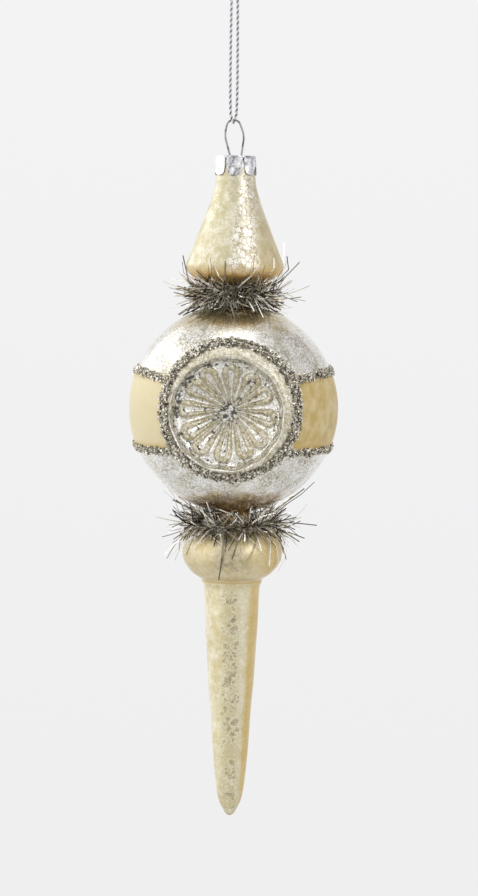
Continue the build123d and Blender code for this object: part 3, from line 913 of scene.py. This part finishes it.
def band_line(level, hand):
    """A glitter band's middle line on one side, from the front ring to the back one."""
    limit = ring_edge_angle(level)
    angle = np.linspace(-limit, limit, 90)
    towards_front = np.clip(-angle / limit, 0, 1)
    sag = 1.9 * smooth_step(towards_front, 0.35, 1.0) if level > 0 else 0 * angle
    z = level - sag
    radius = np.sqrt(BALL_R**2 - z**2)
    return np.stack([hand * radius * np.cos(angle), radius * np.sin(angle), z], axis=-1)


def make_panel(hand_name, hand, look_of):
    """The enamel between two glitter bands, running a little way under the glitter all round."""
    rows = []
    for level in np.linspace(-BAND_Z, BAND_Z, 40):
        limit = ring_edge_angle(level)
        angle = np.linspace(-limit, limit, 110) * hand
        radius = math.sqrt(BALL_R**2 - level**2)
        x, y = hand * radius * np.cos(angle), radius * np.sin(angle)
        rows.append(np.stack([x, y, level + 0 * angle], axis=-1))
    rows = np.array(rows)
    thick = 0.16 + 0.03 * np.sin(rows[..., 1:2] / 2.7) * np.cos(rows[..., 2:] / 3.1)
    outer = unit(rows) * (BALL_R + thick)
    inner = unit(rows) * (BALL_R - 0.1)
    nodes = [f"band_panel_{hand_name}"]
    return piece(f"panel_{hand_name}", slab(outer, inner), look_of, "glass", "gold_enamel", nodes)


# ---------------------------------------------------------------- tinsel


def coil_line(low, high, turns):
    """A garland's wire, from its lower end up."""
    share = np.linspace(0, 1, round(turns * 90))
    radius = low[0] + share * (high[0] - low[0])
    angle = math.tau * turns * share
    height = low[1] + share * (high[1] - low[1])
    return np.stack([radius * np.cos(angle), radius * np.sin(angle), height], axis=-1)


def glass_outline():
    """The outside of the glass near the garlands as (radius, height), from the top down."""
    polar = np.linspace(math.asin(NECK_R / BALL_R), math.pi - math.asin(NECK_R / BALL_R), 400)
    ball = np.stack([BALL_R * np.sin(polar), BALL_R * np.cos(polar)], axis=-1)
    return np.concatenate([finial_outer, ball, drop_outer[:-1]])


GLASS_OUTLINE = glass_outline()
GLASS_OUTWARD = outward(GLASS_OUTLINE)
FLATTEN = np.array([1, 1, 0])
DEEPEST_BEND = 3.0  # a strand that would go deeper into the glass than this is left out
STRAND_STEPS = 6
# how many, from what length to what length, and their lean
STRAND_GROUPS = [(620, (6.0, 12.5), 0.0), (420, (3.0, 6.5), 0.0)]
STRAND_GROUPS += [(220, (5.0, 9.0), -0.9), (30, (7.0, 10.0), 0.5)]


def against_glass(points):
    """Each point as (radius, height), how far outside the glass it is, and the way out from there."""
    spot = np.stack([np.hypot(points[..., 0], points[..., 1]), points[..., 2]], axis=-1)
    apart = np.linalg.norm(spot[..., None, :] - GLASS_OUTLINE, axis=-1)
    nearest = apart.argmin(axis=-1)
    way_out = GLASS_OUTWARD[nearest]
    return spot, ((spot - GLASS_OUTLINE[nearest]) * way_out).sum(axis=-1), way_out


def laid_over_glass(lines, clearance):
    """The strands bent clear of the glass, as foil is where it lies over the neck's shoulders."""
    spot, gap, way_out = against_glass(lines)
    push = np.maximum(clearance[:, None] - gap, 0)
    moved = spot + way_out * push[..., None]
    level = lines[..., :2] * (moved[..., :1] / spot[..., :1])
    return np.concatenate([level, moved[..., 1:]], axis=-1)


def strands(core, count, lengths, lean, seed):
    """Foil strands that stand out from the wire all round, as a bottle brush's do, clear of the glass.
    lean tips them up, or down if it is negative."""
    rng = np.random.default_rng(seed)
    tries = 4 * count
    start = rng.integers(2, len(core) - 2, tries)
    across, over = carried_axes(core)
    turn = rng.uniform(0, math.tau, tries)[:, None]
    ahead = np.cos(turn) * across[start] + np.sin(turn) * over[start]
    ahead = ahead + 0.2 * unit(core[start] * FLATTEN) + np.array([0, 0, lean])
    ahead = unit(ahead + rng.normal(scale=0.8, size=ahead.shape))
    length = rng.uniform(*lengths, tries)[:, None, None]
    bend = rng.normal(scale=0.14, size=(tries, 1, 3))
    bend *= rng.choice([1, 1, 1, 2.5], tries)[:, None, None]
    bend[:, 0, 2] += rng.uniform(-0.5, 0.5, tries)
    share = np.linspace(0, 1, STRAND_STEPS)[None, :, None]
    lines = core[start][:, None] + length * (share * ahead[:, None] + share**2 * bend)
    usable = against_glass(lines)[1].min(axis=1) > -DEEPEST_BEND
    lines = lines[usable][:count]
    lines[:, 1:] = laid_over_glass(lines[:, 1:], rng.uniform(0.4, 2.2, len(lines)))
    bright = rng.uniform(size=len(lines)) < 0.5
    tone = np.where(bright, rng.uniform(0.7, 1.0, len(lines)), rng.uniform(0.0, 0.35, len(lines)))
    shape = ribbons(lines, rng.uniform(0.26, 0.44, len(lines)), 0.05, rng)
    return shape, np.repeat(tone, RIBBON_CORNERS * STRAND_STEPS)


def make_garland(place, winding, seed, wire_look, foil_look):
    """One garland: its wire of two plies, and its foil strands in groups from long to short."""
    core = coil_line(**winding)
    wires = plies(even_steps(core, 0.4), 2, 0.22, 0.23, 2.6, sides=6)
    name = f"tinsel_{place}"
    piece(f"{name}_wires", wires, wire_look, "glass", "tinsel_wire", [f"{name}_core"])
    made = [strands(core, *group, seed + number) for number, group in enumerate(STRAND_GROUPS)]
    shape = joined([strand for strand, tone in made])
    tones = np.concatenate([tone for strand, tone in made])
    nodes = [f"{name}_fringe"]
    piece(f"{name}_strands", shape, foil_look, "glass", "tinsel_foil", nodes, smooth=False, tone=tones)


# ---------------------------------------------------------------- cap


def cap_tab(number):
    """One tab: a slightly crinkled sheet with rounded corners."""
    half = math.pi / TAB_COUNT - 0.045
    middle = math.radians(-90 + TAB_TURN + number * 360 / TAB_COUNT)
    across = np.linspace(-1, 1, 25)
    down = np.linspace(0, 1, 22)[:, None]
    corner = 1 - np.sqrt(1 - np.abs(across) ** 2.4 * 0.999)
    bottom = TAB_TIP_Z + 2.3 * corner + 0.12 * np.sin(number * 2.3 + across * 3)
    z = CAP_SLOT_Z + 0.15 - down * (CAP_SLOT_Z + 0.15 - bottom)
    angle = middle + across * half * (1 - 0.1 * down**3)
    crinkle = 0.09 * np.sin(across * 5.5 + number * 1.9 + down * 2)
    crinkle = crinkle + 0.06 * np.sin(down * 9 + number + across * 2)
    flare = 0.12 * down**2 - 0.1 * (1 - down) ** 6 + crinkle * smooth_step(down, 0.05, 0.5)
    outer_r = CAP_R - 0.08 + flare
    grids = []
    for radius in (outer_r, outer_r - SHEET):
        grids.append(np.stack([radius * np.cos(angle), radius * np.sin(angle), z], axis=-1)[::-1])
    return slab(*grids)


def cap_top():
    """The cap's flat top: rounded over at its edge and dimpled round the two wire holes."""
    angle = np.linspace(0, math.tau, 96, endpoint=False)
    edge = [(CAP_R - 0.1, CAP_SLOT_Z - 0.35), (CAP_R - 0.08, CAP_SLOT_Z + 0.1)]
    edge += [(CAP_R - 0.22, CAP_TOP_Z - 0.14)]
    edge += [(CAP_R - 0.6, CAP_TOP_Z), (CAP_R - 1.4, CAP_TOP_Z + 0.02)]
    inward = [(radius, CAP_TOP_Z + 0.02) for radius in np.linspace(4.9, 0.3, 18)]
    outline = np.concatenate([smooth_line(edge, 5), inward])

    def sheet_at(inset_by):
        radius = outline[:, :1] - inset_by * (outline[:, :1] > CAP_R - 0.7)
        x, y = radius * np.cos(angle), radius * np.sin(angle)
        dimple = sum(0.32 * np.exp(-(((x - side * WIRE_HOLE_X) ** 2 + y**2) / 0.5)) for side in (-1, 1))
        wave = 0.05 * np.sin(3 * angle + 1) * (radius / CAP_R)
        z = outline[:, 1:] - inset_by * (outline[:, :1] <= CAP_R - 0.7) - dimple + wave
        return np.stack([x, y, z], axis=-1)

    outer, inner = sheet_at(0.0), sheet_at(SHEET * 0.8)
    rings = np.concatenate([inner[::-1], outer])
    return closed_ends(rings, inner[-1].mean(axis=0), outer[-1].mean(axis=0))


def make_cap(look_of):
    parts = [cap_top()] + [cap_tab(number) for number in range(TAB_COUNT)]
    return piece("cap_shell", joined(parts), look_of, "hanger", "cap_metal", ["cap"])


# ---------------------------------------------------------------- cord


def cord_centreline():
    """The smooth line that the cord follows, in metres, read from a NURBS curve through its route."""
    curve = bpy.data.curves.new("route", "CURVE")
    curve.dimensions = "3D"
    spline = curve.splines.new("NURBS")
    spline.points.add(len(CORD_ROUTE) - 1)
    for point, place in zip(spline.points, CORD_ROUTE):
        point.co = (*place, 1.0)
    spline.order_u = 3
    spline.use_endpoint_u = True
    spline.resolution_u = 24
    holder = bpy.data.objects.new("route", curve)
    line = bpy.data.meshes.new_from_object(holder)
    points = [vertex.co[:] for vertex in line.vertices]
    bpy.data.objects.remove(holder)
    bpy.data.meshes.remove(line)
    bpy.data.curves.remove(curve)
    return np.array(points)


def from_row(points):
    """Metres in the row frame, as millimetres round the glass's axis."""
    return (np.asarray(points) - np.array(BALL_CENTRE)) / MM


def knot_lines():
    """The knot's wrapping turns and its two tails, in millimetres from the row's origin."""
    turns = np.linspace(0, 1, 120)
    angle = math.tau * 2.75 * turns
    radius = 1.38 + 0.14 * np.sin(3 * angle)
    height = 0.52 + 2.75 * turns + 0.2 * np.sin(angle)
    wraps = np.stack([radius * np.cos(angle), radius * np.sin(angle), height], axis=-1)
    lines = [wraps]
    for side in (-1, 1):
        tail = [(side * 0.5, -0.2, 0.3), (side * 0.5, 0.2, 2.0), (side * 0.75, 0.1, 4.0)]
        tail += [(side * 1.5, 0.2, 6.6), (side * 2.05, -side * 0.1, 8.5)]
        lines.append(smooth_line(tail, 12))
    return lines


def make_cord(look_of):
    """The twisted cord through the wire's eye, and the knot that closes its loop."""
    twist = {"count": 3, "ply_r": PLY_R, "offset": PLY_OFFSET, "pitch": PLY_PITCH}
    lines = [from_row(even_steps(line, 0.12) * MM) for line in knot_lines()]
    parts = [plies(line, **twist) for line in lines]
    tones = np.concatenate([ply_tones(part, 3) for part in parts])
    knot = piece("knot", joined(parts), look_of, "knot", "metallic_cord", ["cord_knot"], tone=tones)
    centreline = cord_centreline()
    shape = plies(even_steps(from_row(centreline), 0.1), **twist)
    tones = ply_tones(shape, 3)
    cord = piece("cord", shape, look_of, "cord", "metallic_cord", ["hanging_cord"], tone=tones)
    facts = {"length": CORD_LENGTH, "diameter": CORD_DIAMETER, "far_end": "knot"}
    facts |= {"stiffness": "limp", "lay": "taut", "path": centreline.tolist(), "with_pieces": [knot]}


# ---------------------------------------------------------------- the whole scene


def make_floor():
    """A pale round floor well under the icicle's tip, in metres."""
    radius, below, corners = 0.5, 0.16, 96
    around = [math.tau * corner / corners for corner in range(corners)]
    level = cad_box[0].z - below
    rim = [(radius * math.cos(angle), radius * math.sin(angle), level) for angle in around]
    mesh = bpy.data.meshes.new("floor")
    mesh.from_pydata(rim, [], [list(range(corners))])
    mesh.materials.append(material("floor_paint", floor_paint, roughness=0.7))
    floor = bpy.data.objects.new("floor", mesh)
    bpy.context.collection.objects.link(floor)


def paint_wire(look_of):
    """The hanger wire is the CAD's own mesh, with only its material changed."""
    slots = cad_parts["hanger_wire"].data.materials
    slots.clear()
    slots.append(look_of)


bpy.context.scene.view_settings.view_transform = "Standard"
make_camera()
make_cord(material("metallic_cord", cord_thread, metallic=0.75))

CONE_COAT = {"coat_weight": 0.55, "coat_roughness": 0.05}
DROP_COAT = {"coat_weight": 0.4, "coat_roughness": 0.12}
BALL_COAT = {"coat_weight": 0.6, "coat_roughness": 0.04}
make_finial(material("gold_mercury_glass", gold_mercury, metallic=0.85, **CONE_COAT))
make_drop(material("champagne_mercury_glass", champagne_mercury, metallic=0.8, **DROP_COAT))
make_ball(material("silver_mercury_glass", silver_mercury, metallic=0.9, **BALL_COAT))

glitter_look = material("silver_glitter", glitter_grains, metallic=0.95)
lines = {"ring_front": ring_line(FRONT), "ring_back": ring_line(BACK)}
for height_name, level in (("upper", BAND_Z), ("lower", -BAND_Z)):
    for hand_name, hand in (("left", -1), ("right", 1)):
        lines[f"band_{height_name}_{hand_name}"] = band_line(level, hand)
for seed, (name, line) in enumerate(lines.items(), start=11):
    width, grains = RING_GRAINS if name.startswith("ring") else BAND_GRAINS
    glitter(name, line, width, grains, seed, glitter_look)

enamel_look = material("gold_enamel", enamel, metallic=0.15, coat_weight=0.25, coat_roughness=0.3)
make_panel("left", -1, enamel_look)
make_panel("right", 1, enamel_look)

wire_look = material("tinsel_wire", tarnished_wire, metallic=0.9)
foil_look = material("tinsel_foil", foil_strands, metallic=0.9)
make_garland("upper", UPPER_COIL, 31, wire_look, foil_look)
make_garland("lower", LOWER_COIL, 41, wire_look, foil_look)

make_cap(material("cap_metal", cap_sheet, metallic=1.0))
paint_wire(material("wire_steel", drawn_wire, metallic=1.0))

make_floor()
make_world()
softbox("key", -72, 24, 1.2, (1.5, 1.5), 0.42)
softbox("side", -122, 24, 1.3, (0.9, 0.9), 0.8)
softbox("strip", 46, 24, 1.3, (0.5, 1.0), 1.7)
softbox("top", 10, 80, 1.2, (0.7, 0.7), 1.2)
